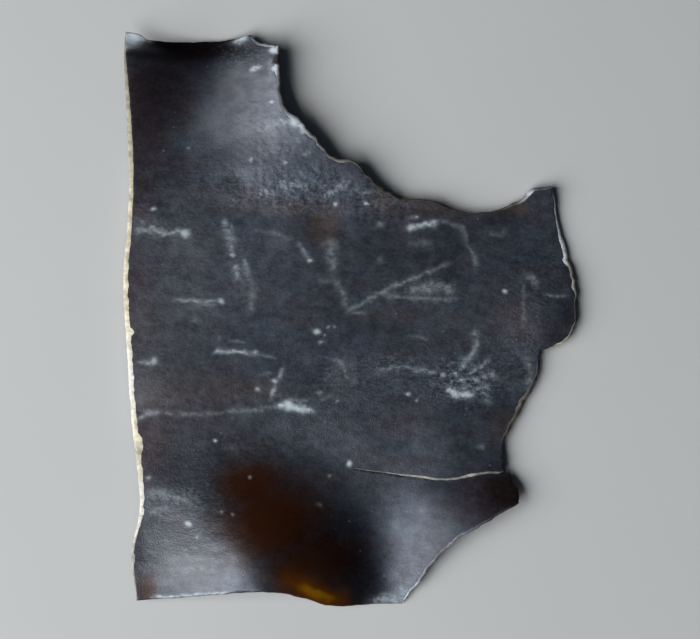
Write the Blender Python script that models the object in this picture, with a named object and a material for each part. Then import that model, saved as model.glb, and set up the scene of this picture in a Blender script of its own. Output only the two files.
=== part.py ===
"""A dried kelp sheet: one length of kelp blade, dried hard and wavy, as it lies on a table.

The blade's own length runs along X and its width along Y, and +Z is up. The sheet has one knife-cut
end at -X, a natural wavy margin at -Y and another at +Y, and torn edges round the rest, with a crack
that runs in from the right. It is thick along the middle band of the blade and thin at its margins.
Sizes are in millimetres until the mesh is made in metres.
"""

import math

import bmesh
import bpy
import numpy as np
from mathutils import Vector
from mathutils.geometry import delaunay_2d_cdt

MM = 0.001

# Driving sizes.
BLADE_LENGTH = 101.0  # along X, from the cut end to the tip of the torn lobe
BLADE_WIDTH = 127.0  # along Y, from margin to margin
BAND_THICKNESS = 1.8  # the blade's thick middle band
MARGIN_THICKNESS = 1.0  # the thin skirts on both sides of it
BRIM_THICKNESS = 0.6  # the natural margins' own edges
BAND_CENTRE = 2.0  # the Y of the band's middle
BAND_HALF_WIDTH = 25.0
BAND_FADE = 14.0  # how far the thickness takes to fall off
BRIM_START = 54.0  # the distance from the middle of the blade where the brims begin

# The thick middle band lies low. It rises a little from the cut end and sinks again towards the lobe.
BOW = {"level": 0.75, "height": 1.2, "crest": 15.0, "length": 100.0}

# Each margin waves up and down, and its crests lean over as they run in towards the band. "falling" is the
# share of a wave between a crest and the trough after it, and "heights" are those of the first crest and
# of the next.
LOWER_WAVE = {"start": 21.0, "depth": 39.0, "heights": (11.0, 9.0), "length": 55.0, "falling": 0.5,
              "crest": -20.0, "lean": -0.2, "at": -57.0}
UPPER_WAVE = {"start": 19.0, "depth": 44.0, "heights": (6.5, 9.5), "length": 52.0, "falling": 0.42,
              "crest": -51.0, "lean": 0.3, "at": 58.0}

# The upper margin's own edge rolls down between its two tips, by this share of its height.
ROLL = {"share": 0.5, "reach": 4.5, "edge": 61.5, "centre": -36.5, "half_width": 12.0}

# The upper left tip bends down.
TIP_BEND = {"at": (-50.2, 63.4), "reach": 5.5, "drop": 1.6}

# Shallow oval swellings and hollows left by drying: centre X, centre Y, half length, half width, turn in
# degrees, height.
SWELLINGS = (
    (-47.0, -57.0, 12.0, 12.0, 0.0, 2.8),  # the lower left corner curls up
    (-48.0, -35.0, 8.0, 10.0, 0.0, 1.15),  # and so does the cut edge above it
    (-40.0, -14.0, 10.0, 9.0, 0.0, 0.6),
    (-18.0, -28.0, 20.0, 14.0, 25.0, -1.2),  # a long hollow along the band, its lower left half
    (8.0, -5.0, 24.0, 17.0, 30.0, -1.25),  # its upper right half
    (24.0, 14.0, 9.0, 9.0, 0.0, -0.5),  # and its upper end
    (-4.0, -57.0, 7.0, 7.0, 0.0, 1.5),
    (14.0, -60.0, 8.5, 8.0, 0.0, 1.75),  # the corner beside the lower tear lifts
    (21.5, -27.0, 6.0, 6.0, 0.0, 0.5),
    (5.0, 33.0, 7.0, 6.0, 0.0, 0.9),  # the torn arc's middle lifts
    (-8.0, 15.0, 11.0, 10.0, 0.0, 0.35),
    (-5.5, 21.5, 5.0, 5.0, 0.0, -0.4),
    (40.0, 21.0, 13.0, 11.0, 0.0, -0.7),  # the lobe sinks below its ear
    (46.0, -1.0, 9.0, 9.0, 0.0, 0.75),  # and lifts at its lower end
    (-42.0, 37.0, 15.0, 13.0, 0.0, -1.7),  # the hollow between the two upper crests
    (-45.0, 14.0, 10.0, 9.0, 0.0, -0.3),
    (-15.0, 60.0, 8.0, 9.0, 0.0, 1.4),  # the torn corner lifts
    (30.0, -45.0, 9.0, 8.0, 0.0, -0.85),  # the flap's tip sinks
    (-20.0, 27.0, 12.0, 6.0, 0.0, -0.25),
)

# How the whole sheet leans on its three lowest places: its slopes along X and along Y.
LEAN = (-0.022, 0.006)

# The edge, as named stretches that follow each other anticlockwise. A smooth curve runs through each
# stretch's points, and stretches meet at corners.
CUT_EDGE = ((-50.2, 63.4), (-49.7, 40), (-49.7, 24), (-50.8, 8), (-49.9, -8), (-49, -22), (-47, -41),
            (-48.8, -52), (-47.6, -62.6))
LOWER_MARGIN = ((-47.6, -62.6), (-37, -61.7), (-25.6, -60.3), (-17.5, -60), (-9.9, -61.7), (-3.5, -63.7),
                (11.5, -63.5))
LOWER_TEAR = ((11.5, -63.5), (15, -59), (20.4, -52), (25, -48.3), (32, -44.2), (37.2, -41.2))
FLAP_TIP = ((37.2, -41.2), (37.4, -38), (35.4, -35.2))
CRACK = ((35.4, -34.8), (30, -34.7), (21.6, -36.1), (13.2, -35.3), (0.6, -33.6))
RIGHT_TEAR = ((33.9, -34.2), (34, -27.5), (38.5, -19.3), (41.4, -13), (42, -7.2))
LOBE = ((42, -7.2), (45, -6.5), (48.4, -4.5), (50.2, 1), (49.6, 10), (46.8, 19.5), (44.8, 29.4))
EAR = ((44.8, 29.4), (40.5, 29), (37.5, 26.3), (31, 23.7))
TORN_ARC = ((31, 23.7), (25, 23.7), (17, 26.3), (9, 27.6), (0.6, 34.8), (-4.5, 36.3), (-11, 43.7),
            (-14.6, 46.8), (-15.8, 54), (-16, 60.2))
TORN_CORNER = ((-16, 60.2), (-20.4, 61.4), (-22.3, 63))
UPPER_MARGIN = ((-22.3, 63), (-28, 61.9), (-36, 61.4), (-44.5, 61.6), (-47, 62.9), (-50.2, 63.4))

CRACK_GAP = 0.6  # the crack's width at its mouth
CRACK_LIP = 1.0  # how far inside the mouth the crack's upper bank stops, where the torn edge takes over
FLAP_DROP = 0.9  # how far the flap below the crack hangs under its other bank
FLAP_REACH = 12.0  # how fast that fades away from the crack
CUT_SLANT = 1.1  # the knife went in at a slant, so the cut face shows from above
TEAR_SLANT = 0.35  # torn faces lean a little too
TEAR_ROUGHNESS = 0.35
MARGIN_ROUGHNESS = 0.12
CUT_ROUGHNESS = 0.08

EDGE_STEP = 2.3  # spacing of the points along the edge
RING_DEPTH = 2.2  # a ring of points this far in follows the edge
FACE_STEP = 3.1  # spacing of the points across the sheet
NEARLY = 0.9  # a point counts as this far in from the edge when it has this share of the ring's depth
CROWDED = 0.6  # points nearer to each other than this share of their spacing are thinned out
NORMAL_REACH = 0.5  # how far to each side the slopes are measured
SINK = 0.25  # the low spots are pressed this far into the table's plane, which makes them flat below


def smooth_step(t):
    """0 below 0 and 1 above 1, with a smooth rise between."""
    t = np.clip(t, 0.0, 1.0)
    return t * t * (3.0 - 2.0 * t)


def ragged(distance, seed):
    """A ragged line between about -1 and 1, made of waves of unrelated lengths."""
    lengths = (9.7, 5.3, 3.1, 1.9)
    weights = (0.40, 0.30, 0.20, 0.10)
    return sum(w * math.sin(2 * math.pi * distance / n + seed * (k + 1.7))
               for k, (n, w) in enumerate(zip(lengths, weights)))


def curve_through(points, step):
    """Points about one step apart on the Catmull-Rom curve through the given ones, without the last."""
    ends = [np.array(p, float) for p in points]
    ends = [2 * ends[0] - ends[1], *ends, 2 * ends[-1] - ends[-2]]
    found = []
    for before, a, b, after in zip(ends, ends[1:], ends[2:], ends[3:]):
        count = max(1, round(float(np.linalg.norm(b - a)) / step))
        for k in range(count):
            t = k / count
            found.append(0.5 * (2 * a + (b - before) * t + (2 * before - 5 * a + 4 * b - after) * t**2
                                + (3 * a - 3 * b + after - before) * t**3))
    return found


def stretch(points, roughness, seed, slant):
    """One stretch of the edge, as (point, shift) pairs, where shift leads from the sheet's lower edge to its
    upper one. Roughness and slant fade out at the corners."""
    line = curve_through(points, EDGE_STEP)
    made = []
    travelled = 0.0
    for k, point in enumerate(line):
        ahead = line[min(k + 1, len(line) - 1)] - line[max(k - 1, 0)]
        inward = np.array((-ahead[1], ahead[0])) / np.linalg.norm(ahead)
        if k:
            travelled += float(np.linalg.norm(point - line[k - 1]))
        share = math.sqrt(math.sin(math.pi * k / len(line)))
        made.append((point - inward * roughness * share * ragged(travelled, seed), inward * slant * share))
    return made


def crack_banks():
    """The crack, in along its lower bank to the tip and back out along its upper bank."""
    line = curve_through(CRACK, EDGE_STEP) + [np.array(CRACK[-1])]
    mouth, tip = line[0][0], line[-1][0]
    lower = [p - (0.0, CRACK_GAP / 2 * (p[0] - tip) / (mouth - tip)) for p in line]
    upper = [p + (0.0, CRACK_GAP / 2 * (p[0] - tip) / (mouth - tip)) for p in line]
    upper_inside = [p for p in reversed(upper[:-1]) if p[0] < RIGHT_TEAR[0][0] - CRACK_LIP]
    return [(p, np.zeros(2)) for p in lower + upper_inside]


def outline():
    """The sheet's closed edge, anticlockwise, as (point, shift) pairs."""
    return (
        stretch(CUT_EDGE, CUT_ROUGHNESS, 0.3, CUT_SLANT)
        + stretch(LOWER_MARGIN, MARGIN_ROUGHNESS, 1.1, 0.0)
        + stretch(LOWER_TEAR, TEAR_ROUGHNESS, 2.4, TEAR_SLANT)
        + stretch(FLAP_TIP, 0.0, 0.0, TEAR_SLANT)
        + crack_banks()
        + stretch(RIGHT_TEAR, TEAR_ROUGHNESS, 3.9, TEAR_SLANT)
        + stretch(LOBE, TEAR_ROUGHNESS, 4.6, TEAR_SLANT)
        + stretch(EAR, TEAR_ROUGHNESS, 5.2, 0.0)
        + stretch(TORN_ARC, TEAR_ROUGHNESS, 6.8, TEAR_SLANT)
        + stretch(TORN_CORNER, 0.0, 0.0, 0.0)
        + stretch(UPPER_MARGIN, MARGIN_ROUGHNESS, 7.7, 0.0)
    )


def margin_wave(wave, x, y, side):
    """How far in a margin a point lies, from 0 to 1, and the wave's height there."""
    share = np.clip((side * y - wave["start"]) / wave["depth"], 0.0, 1.0)
    share = share**3 * (6.0 * share**2 - 15.0 * share + 10.0)
    turns = (x - wave["crest"] - wave["lean"] * (y - wave["at"])) / wave["length"]
    turn = turns - np.floor(turns)
    falling = wave["falling"]
    phase = np.where(turn < falling, turn / falling, 1.0 + (turn - falling) / (1.0 - falling))
    height = np.where(turns < falling, *wave["heights"])
    return share, height / 2 * (1.0 + np.cos(math.pi * phase))


def flap_drop(x, y):
    """The flap under the crack hangs lower, most of all at the crack's mouth."""
    crack_x, crack_y = np.array(sorted(CRACK)).T
    below = np.interp(x, crack_x, crack_y) - y
    along = smooth_step((x - crack_x[0]) / (crack_x[-1] - crack_x[0]))
    return np.where(below > 0, FLAP_DROP * along * np.exp(-np.maximum(below, 0.0) / FLAP_REACH), 0.0)


def ovals(places, x, y):
    """Smooth oval swellings and hollows, added together."""
    total = 0.0
    for centre_x, centre_y, half_length, half_width, turn, rise in places:
        cos, sin = math.cos(math.radians(turn)), math.sin(math.radians(turn))
        along = ((x - centre_x) * cos + (y - centre_y) * sin) / half_length
        across = ((y - centre_y) * cos - (x - centre_x) * sin) / half_width
        total = total + rise * np.exp(-(along**2) - across**2)
    return total


def relief(x, y):
    """The height of the sheet's underside above the table's plane, before its low spots are pressed flat."""
    lower_share, lower = margin_wave(LOWER_WAVE, x, y, -1)
    upper_share, upper = margin_wave(UPPER_WAVE, x, y, 1)
    band = BOW["level"] + BOW["height"] * np.cos(math.pi * (x - BOW["crest"]) / BOW["length"])
    height = band * (1 - lower_share) * (1 - upper_share) + lower_share * lower + upper_share * upper
    height = height + ovals(SWELLINGS, x, y) + LEAN[0] * x + LEAN[1] * y
    roll_along = smooth_step(1.5 - np.abs(x - ROLL["centre"]) / ROLL["half_width"])
    roll_in = smooth_step(1 - (ROLL["edge"] - y) / ROLL["reach"])
    tip_x, tip_y = TIP_BEND["at"]
    bend = TIP_BEND["drop"] * smooth_step(1 - np.hypot(x - tip_x, y - tip_y) / TIP_BEND["reach"])
    return height * (1 - ROLL["share"] * roll_along * roll_in) - bend - flap_drop(x, y) - SINK


def thickness(x, y):
    """Thick along the blade's middle band, thin beside it and thinnest at the brims."""
    off_band = np.abs(y - BAND_CENTRE) - BAND_HALF_WIDTH
    skirt = MARGIN_THICKNESS + (BAND_THICKNESS - MARGIN_THICKNESS) * (1 - smooth_step(off_band / BAND_FADE))
    brim = smooth_step((np.abs(y) - BRIM_START) / (BLADE_WIDTH / 2 - BRIM_START))
    return skirt + (BRIM_THICKNESS - MARGIN_THICKNESS) * brim


def surface_normal(x, y):
    """The upward normal of the relief, from its slopes."""
    slope_x = (relief(x + NORMAL_REACH, y) - relief(x - NORMAL_REACH, y)) / (2 * NORMAL_REACH)
    slope_y = (relief(x, y + NORMAL_REACH) - relief(x, y - NORMAL_REACH)) / (2 * NORMAL_REACH)
    return Vector((-float(slope_x), -float(slope_y), 1.0)).normalized()


def inside(points, edge):
    """Which of the points lie within the closed edge."""
    ends = np.roll(edge, -1, axis=0)
    px, py = points[:, 0, None], points[:, 1, None]
    straddles = (edge[:, 1] > py) != (ends[:, 1] > py)
    rise = np.where(ends[:, 1] == edge[:, 1], 1.0, ends[:, 1] - edge[:, 1])
    crossing = edge[:, 0] + (py - edge[:, 1]) / rise * (ends[:, 0] - edge[:, 0])
    return (straddles & (px < crossing)).sum(axis=1) % 2 == 1


def clear_of(found, others, distance):
    """Which of the points found lie further than that from all the others."""
    return np.min(np.linalg.norm(found[:, None] - others[None], axis=2), axis=1) > distance


def ring_points(edge):
    """A ring of points just inside the edge, without those that crowd a corner."""
    along = np.roll(edge, -1, axis=0) - np.roll(edge, 1, axis=0)
    inward = np.stack((-along[:, 1], along[:, 0]), axis=1) / np.linalg.norm(along, axis=1, keepdims=True)
    ring = edge + inward * RING_DEPTH
    ring = ring[inside(ring, edge) & clear_of(ring, edge, RING_DEPTH * NEARLY)]
    kept = ring[:1]
    for point in ring[1:]:
        if clear_of(point[None], kept, EDGE_STEP * CROWDED)[0]:
            kept = np.vstack((kept, point))
    return kept


def fill_points(edge, ring):
    """Points across the sheet in staggered rows, kept off its edge and its ring."""
    row_step = FACE_STEP * math.sqrt(3) / 2
    found = []
    for row in range(math.ceil(BLADE_WIDTH / row_step) + 1):
        shift = FACE_STEP / 2 * (row % 2)
        for column in range(math.ceil(BLADE_LENGTH / FACE_STEP) + 1):
            found.append((column * FACE_STEP + shift - BLADE_LENGTH / 2, row * row_step - BLADE_WIDTH / 2))
    found = np.array(found)
    clear = clear_of(found, edge, RING_DEPTH * NEARLY) & clear_of(found, ring, FACE_STEP * CROWDED)
    return found[inside(found, edge) & clear]


def kelp_mesh():
    """The sheet as one closed mesh, centred over its origin, in metres."""
    edge, shifts = (np.array(column) for column in zip(*outline()))
    ring = ring_points(edge)
    points = [Vector(p) for p in (*edge, *ring, *fill_points(edge, ring))]
    flat, _, faces, origins, _, _ = delaunay_2d_cdt(points, [], [list(range(len(edge)))], 1, 1e-6)
    made_from = [found[0] for found in origins]

    bm = bmesh.new()
    lower, upper = [], []
    for (x, y), origin in zip(flat, made_from):
        height = float(relief(x, y))
        under = Vector((x, y, max(0.0, height)))
        over = Vector((x, y, height)) + surface_normal(x, y) * float(thickness(x, y))
        if origin < len(edge):
            over += Vector((*shifts[origin], 0.0))
        lower.append(bm.verts.new(under * MM))
        upper.append(bm.verts.new(over * MM))
    for a, b, c in faces:
        bm.faces.new((upper[a], upper[b], upper[c]))
        bm.faces.new((lower[c], lower[b], lower[a]))
    rim = [made_from.index(k) for k in range(len(edge))]
    for a, b in zip(rim, rim[1:] + rim[:1]):
        bm.faces.new((lower[a], lower[b], upper[b], upper[a]))

    lowest = Vector(min(v.co[axis] for v in bm.verts) for axis in range(3))
    highest = Vector(max(v.co[axis] for v in bm.verts) for axis in range(3))
    middle = (lowest + highest) / 2
    bmesh.ops.translate(bm, verts=bm.verts[:], vec=(-middle.x, -middle.y, -lowest.z))
    mesh = bpy.data.meshes.new("kelp_sheet")
    bm.to_mesh(mesh)
    bm.free()
    return mesh


def kelp_skin():
    """The blade's dark skin, satin and almost black."""
    material = bpy.data.materials.new("kelp_skin")
    material.use_nodes = True
    shader = material.node_tree.nodes["Principled BSDF"]
    shader.inputs["Base Color"].default_value = (0.030, 0.029, 0.033, 1.0)
    shader.inputs["Roughness"].default_value = 0.42
    shader.inputs["Metallic"].default_value = 0.0
    return material


def main():
    for old in list(bpy.data.objects):
        bpy.data.objects.remove(old)
    mesh = kelp_mesh()
    mesh.materials.append(kelp_skin())
    mesh.shade_smooth()
    mesh.set_sharp_from_angle(angle=math.radians(50))
    sheet = bpy.data.objects.new("kelp_sheet", mesh)
    bpy.context.scene.collection.objects.link(sheet)


main()
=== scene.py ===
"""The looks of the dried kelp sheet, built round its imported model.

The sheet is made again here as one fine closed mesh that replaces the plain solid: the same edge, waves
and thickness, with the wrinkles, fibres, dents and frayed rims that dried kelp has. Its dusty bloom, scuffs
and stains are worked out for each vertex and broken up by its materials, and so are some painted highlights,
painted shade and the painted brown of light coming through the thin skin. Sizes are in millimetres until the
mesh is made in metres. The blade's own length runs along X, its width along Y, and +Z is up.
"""

import math

import bpy
import numpy as np
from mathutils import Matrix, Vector
from mathutils.geometry import delaunay_2d_cdt


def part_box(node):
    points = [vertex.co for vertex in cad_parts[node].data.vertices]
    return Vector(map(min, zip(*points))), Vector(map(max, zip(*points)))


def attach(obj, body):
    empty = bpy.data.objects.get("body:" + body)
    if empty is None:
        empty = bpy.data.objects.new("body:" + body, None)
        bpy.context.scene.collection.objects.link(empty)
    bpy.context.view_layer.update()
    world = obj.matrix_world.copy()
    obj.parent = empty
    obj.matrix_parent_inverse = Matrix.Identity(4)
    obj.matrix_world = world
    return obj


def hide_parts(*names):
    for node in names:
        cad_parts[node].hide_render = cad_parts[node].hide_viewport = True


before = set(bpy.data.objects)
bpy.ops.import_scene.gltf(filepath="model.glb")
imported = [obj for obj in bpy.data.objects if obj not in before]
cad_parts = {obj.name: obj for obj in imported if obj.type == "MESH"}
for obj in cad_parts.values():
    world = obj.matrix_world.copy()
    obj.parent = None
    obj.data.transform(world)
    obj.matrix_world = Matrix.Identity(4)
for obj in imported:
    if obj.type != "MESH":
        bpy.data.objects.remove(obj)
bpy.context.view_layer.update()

MM = 0.001
NODE = "kelp_sheet"

# ---- the sheet's form, as its solid has it

BLADE_LENGTH = 101.0
BLADE_WIDTH = 127.0
BAND_THICKNESS = 1.8
MARGIN_THICKNESS = 1.0
BRIM_THICKNESS = 0.6
BAND_CENTRE = 2.0
BAND_HALF_WIDTH = 25.0
BAND_FADE = 14.0
BRIM_START = 54.0
BOW = {"level": 0.75, "height": 1.2, "crest": 15.0, "length": 100.0}
LOWER_WAVE = {"start": 21.0, "depth": 39.0, "heights": (11.0, 9.0), "length": 55.0, "falling": 0.5,
              "crest": -20.0, "lean": -0.2, "at": -57.0}
UPPER_WAVE = {"start": 19.0, "depth": 44.0, "heights": (6.5, 9.5), "length": 52.0, "falling": 0.42,
              "crest": -51.0, "lean": 0.3, "at": 58.0}
ROLL = {"share": 0.5, "reach": 4.5, "edge": 61.5, "centre": -36.5, "half_width": 12.0}
TIP_BEND = {"at": (-50.2, 63.4), "reach": 5.5, "drop": 1.6}
# Oval swellings and hollows: centre X, centre Y, half length, half width, turn in degrees, height.
SWELLINGS = (
    (-47, -57, 12, 12, 0, 2.8), (-48, -35, 8, 10, 0, 1.15), (-40, -14, 10, 9, 0, 0.6),
    (-18, -28, 20, 14, 25, -1.2), (8, -5, 24, 17, 30, -1.25), (24, 14, 9, 9, 0, -0.5),
    (-4, -57, 7, 7, 0, 1.5), (14, -60, 8.5, 8, 0, 1.75), (21.5, -27, 6, 6, 0, 0.5), (5, 33, 7, 6, 0, 0.9),
    (-8, 15, 11, 10, 0, 0.35), (-5.5, 21.5, 5, 5, 0, -0.4), (40, 21, 13, 11, 0, -0.7),
    (46, -1, 9, 9, 0, 0.75), (-42, 37, 15, 13, 0, -1.7), (-45, 14, 10, 9, 0, -0.3), (-15, 60, 8, 9, 0, 1.4),
    (30, -45, 9, 8, 0, -0.85), (-20, 27, 12, 6, 0, -0.25),
)
LEAN = (-0.022, 0.006)
FLAP_DROP = 0.9
FLAP_REACH = 12.0
CRACK_GAP = 0.6
CRACK_LIP = 1.0
SINK = 0.25
NORMAL_REACH = 0.5

# The edge, as stretches that follow each other anticlockwise from the upper left corner.
CUT_EDGE = ((-50.2, 63.4), (-49.7, 40), (-49.7, 24), (-50.8, 8), (-49.9, -8), (-49, -22), (-47, -41),
            (-48.8, -52), (-47.6, -62.6))
LOWER_MARGIN = ((-47.6, -62.6), (-37, -61.7), (-25.6, -60.3), (-17.5, -60), (-9.9, -61.7), (-3.5, -63.7),
                (11.5, -63.5))
LOWER_TEAR = ((11.5, -63.5), (15, -59), (20.4, -52), (25, -48.3), (32, -44.2), (37.2, -41.2))
FLAP_TIP = ((37.2, -41.2), (37.4, -38), (35.4, -35.2))
CRACK = ((35.4, -34.8), (30, -34.7), (21.6, -36.1), (13.2, -35.3), (0.6, -33.6))
RIGHT_TEAR = ((33.9, -34.2), (34, -27.5), (38.5, -19.3), (41.4, -13), (42, -7.2))
LOBE = ((42, -7.2), (45, -6.5), (48.4, -4.5), (50.2, 1), (49.6, 10), (46.8, 19.5), (44.8, 29.4))
EAR = ((44.8, 29.4), (40.5, 29), (37.5, 26.3), (31, 23.7))
TORN_ARC = ((31, 23.7), (25, 23.7), (17, 26.3), (9, 27.6), (0.6, 34.8), (-4.5, 36.3), (-11, 43.7),
            (-14.6, 46.8), (-15.8, 54), (-16, 60.2))
TORN_CORNER = ((-16, 60.2), (-20.4, 61.4), (-22.3, 63))
UPPER_MARGIN = ((-22.3, 63), (-28, 61.9), (-36, 61.4), (-44.5, 61.6), (-47, 62.9), (-50.2, 63.4))

NONE = ((0, 0), (1, 0))
# How each stretch is finished: its line, how ragged it is, coarsely and finely, and a seed. Then, as (share
# of the stretch, value) pairs, the width of the bare face that shows from above, how pale that is, and how
# cool a grey. The paleness holds painted light and shade as well as the flesh's own tone: it drops where the
# cut face lies in shade and rises where a torn rim catches the lamp. Last the chips in its upper edge, as
# (share of the stretch, half length, depth).
FINISHES = (
    (CUT_EDGE, 0.06, 0.03, 0.3,
     ((0, 0.9), (0.1, 1.1), (0.35, 1.15), (0.5, 1.25), (0.6, 1.4), (0.8, 1.5), (0.87, 1.3), (1, 0.9)),
     ((0, 0.5), (0.03, 0.35), (0.05, 0.24), (0.12, 0.36), (0.19, 0.45), (0.25, 0.6), (0.32, 0.7),
      (0.39, 0.75), (0.5, 0.8), (0.56, 1), (0.7, 1), (0.74, 0.6), (0.79, 0.95), (0.87, 0.95), (0.92, 0.5),
      (0.97, 0.35), (1, 0.3)),
     ((0, 0.1), (0.1, 0), (0.5, 0.05), (0.56, 0.3), (0.61, 0.5), (0.66, 0.3), (0.7, 0.1), (0.76, 0.1),
      (0.8, 0.4), (0.9, 0.4), (1, 0.3)),
     ((0.528, 0.8, 0.7), (0.727, 2.2, 0.8), (0.845, 0.9, 0.4), (0.93, 1.2, 0.7))),
    (LOWER_MARGIN, 0.12, 0.04, 1.1, NONE, NONE, NONE, ()),
    (LOWER_TEAR, 0.3, 0.14, 2.4,
     ((0, 0.8), (0.1, 0.8), (0.2, 0.5), (0.5, 0.4), (0.7, 0.4), (1, 0.4)),
     ((0, 0.8), (0.1, 0.85), (0.2, 0.5), (0.3, 0.35), (0.36, 0.28), (0.53, 0.34), (0.6, 0.2), (0.7, 0.12),
      (0.8, 0.06), (1, 0.03)), ((0, 1), (0.6, 1), (1, 0.5)), ()),
    (FLAP_TIP, 0, 0.16, 0,
     ((0, 0.5), (1, 0.4)), ((0, 0.02), (0.6, 0.03), (0.75, 0.07), (1, 0.05)), ((0, 0.2), (1, 0.2)), ()),
    (RIGHT_TEAR, 0.35, 0.18, 3.9,
     ((0, 0.3), (0.2, 0.5), (0.35, 0.8), (0.44, 1), (0.54, 1.2), (0.7, 1), (0.8, 0.7), (1, 0.6)),
     ((0, 0.04), (0.1, 0.07), (0.19, 0.1), (0.28, 0.14), (0.36, 0.12), (0.44, 0.14), (0.54, 0.2),
      (0.7, 0.12), (0.8, 0.15), (0.9, 0.2), (1, 0.14)),
     ((0, 0.8), (0.28, 0.7), (0.36, 0.1), (0.54, 0), (0.65, 0.3), (0.75, 0.8), (1, 1)), ()),
    (LOBE, 0.35, 0.14, 4.6,
     ((0, 0.6), (0.1, 1), (0.19, 0.9), (0.28, 0.6), (0.4, 0.5), (0.46, 0.9), (0.54, 0.9), (0.6, 1.2),
      (0.7, 1.2), (0.8, 0.7), (1, 0.5)),
     ((0, 0.35), (0.1, 0.55), (0.19, 0.48), (0.28, 0.25), (0.36, 0.24), (0.42, 0.45), (0.45, 0.9),
      (0.48, 0.5), (0.54, 0.45), (0.63, 0.95), (0.71, 0.8), (0.8, 0.5), (0.89, 0.6), (0.97, 0.3), (1, 0.2)),
     ((0, 0), (0.2, 0.1), (0.3, 0.3), (0.42, 0.6), (0.5, 0.3), (0.55, 0.2), (0.63, 0.8), (1, 0.9)),
     ((0.6, 1.2, 0.15), (0.45, 0.8, 0.25))),
    (EAR, 0.3, 0.12, 5.2,
     ((0, 0.4), (0.25, 0.4), (0.33, 0.7), (0.5, 0.55), (0.6, 0.45), (1, 0.3)),
     ((0, 0.12), (0.2, 0.1), (0.27, 0.2), (0.34, 0.75), (0.44, 0.45), (0.54, 0.22), (0.65, 0.14),
      (0.8, 0.08), (1, 0.03)), ((0, 1), (0.3, 1), (0.5, 0.7), (0.62, 0.2), (0.72, 0.1), (1, 0.3)), ()),
    (TORN_ARC, 0.35, 0.16, 6.8,
     ((0, 0.4), (0.2, 0.5), (0.36, 0.8), (0.45, 0.4), (0.54, 0.5), (0.62, 0.45), (0.68, 0.7), (0.73, 1.2),
      (0.78, 0.6), (0.86, 0.4), (0.91, 0.9), (0.935, 1.3), (0.945, 2.3), (0.968, 2.3), (0.98, 1.8),
      (1, 1.8)),
     ((0, 0.06), (0.2, 0.08), (0.37, 0.12), (0.45, 0.1), (0.54, 0.26), (0.6, 0.22), (0.66, 0.36),
      (0.71, 0.8), (0.76, 0.5), (0.79, 0.25), (0.86, 0.15), (0.9, 0.3), (0.915, 0.9), (0.932, 0.9),
      (0.941, 0.03), (0.97, 0.03), (0.978, 0.95), (1, 0.8)),
     ((0, 0.3), (0.3, 0.3), (0.37, 0), (0.47, 0.3), (0.6, 0.7), (0.7, 1), (0.9, 0.8), (1, 0.7)), ()),
    (TORN_CORNER, 0, 0.12, 0,
     ((0, 1), (0.1, 1.2), (0.2, 0.7), (1, 0.6)),
     ((0, 0.6), (0.06, 0.9), (0.15, 0.5), (0.35, 0.4), (0.6, 0.3), (1, 0.3)), ((0, 1), (1, 1)), ()),
    (UPPER_MARGIN, 0.12, 0.04, 7.7, NONE, NONE, NONE, ()),
)
# The upper bank of the crack: how far it leans back and how pale it is, from the crack's tip to its mouth.
# Its two peaks of paleness are painted highlights.
CRACK_LEAN = ((0, 0.22), (0.1, 0.32), (0.3, 0.38), (0.45, 0.52), (0.55, 0.36), (0.68, 0.36), (0.75, 0.56),
              (0.82, 0.32), (1, 0.25))
CRACK_PALE_AND_HIGHLIGHTS = ((0, 0.14), (0.11, 0.2), (0.2, 0.24), (0.28, 0.3), (0.36, 0.4), (0.45, 0.55), (0.52, 0.34),
              (0.62, 0.26), (0.69, 0.35), (0.74, 0.55), (0.79, 0.26), (0.86, 0.2), (1, 0.14))
CLOSED_GAP = 0.06  # at the mouth, where frayed fibres fill the solid's gap
CRACK_SEED = 9.1
CRACK_WANDER = 0.07  # how far the crack strays from its smooth line
RIM_WEAR = 0.12  # how unevenly the broken faces' width varies

EDGE_STEP = 0.4
TOP_STEP = 0.44
MARK_STEP = 0.24  # where scuffs and flecks lie
UNDER_STEP = 0.95
CROWDED = 0.55  # points nearer to the edge than this share of a step are left out
MARKED = 0.05  # the least bloom that counts as a mark
RIM_ROWS = 4
RIM_STEEPNESS = 3.0  # broken faces stand up steeply and then lean back almost flat
SHARP_ANGLE = 65  # degrees between faces that meet in a sharp edge
MARGIN_BULGE = 0.12  # how far a natural margin's rounded edge stands out


def smooth_step(t):
    """0 below 0 and 1 above 1, with a smooth rise between."""
    t = np.clip(t, 0.0, 1.0)
    return t * t * (3.0 - 2.0 * t)


# ---- noise

def hashed(cell_x, cell_y, seed):
    """A repeatable random number from 0 to 1 for each whole-numbered place."""
    mixed = cell_x.astype(np.int64) * 73856093 ^ cell_y.astype(np.int64) * 19349663 ^ seed * 83492791
    mixed = (mixed ^ mixed >> 13) * 1274126177 & 0x7FFFFFFF
    return ((mixed ^ mixed >> 15) & 0xFFFF) / 0xFFFF


def noise(x, y, seed):
    """Smooth noise, about -1 to 1, that changes over a distance of 1."""
    cell_x, cell_y = np.floor(x), np.floor(y)
    total = np.zeros(np.broadcast(x, y).shape)
    for corner_x in (0, 1):
        for corner_y in (0, 1):
            turn = hashed(cell_x + corner_x, cell_y + corner_y, seed) * 2 * math.pi
            away_x, away_y = x - cell_x - corner_x, y - cell_y - corner_y
            weight = smooth_step(1 - np.abs(away_x)) * smooth_step(1 - np.abs(away_y))
            total += weight * (np.cos(turn) * away_x + np.sin(turn) * away_y)
    return total * 1.6


def layered(x, y, seed, layers=3):
    """Noise with finer and weaker noise on it."""
    return sum(noise(x * 2**k, y * 2**k, seed + k) / 2**k for k in range(layers))


def creased(x, y, seed, layers=3):
    """Noise folded into thin raised creases, 0 to 1."""
    return 1 - np.minimum(1, 2.2 * np.abs(layered(x, y, seed, layers)))


# ---- the edge

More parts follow.
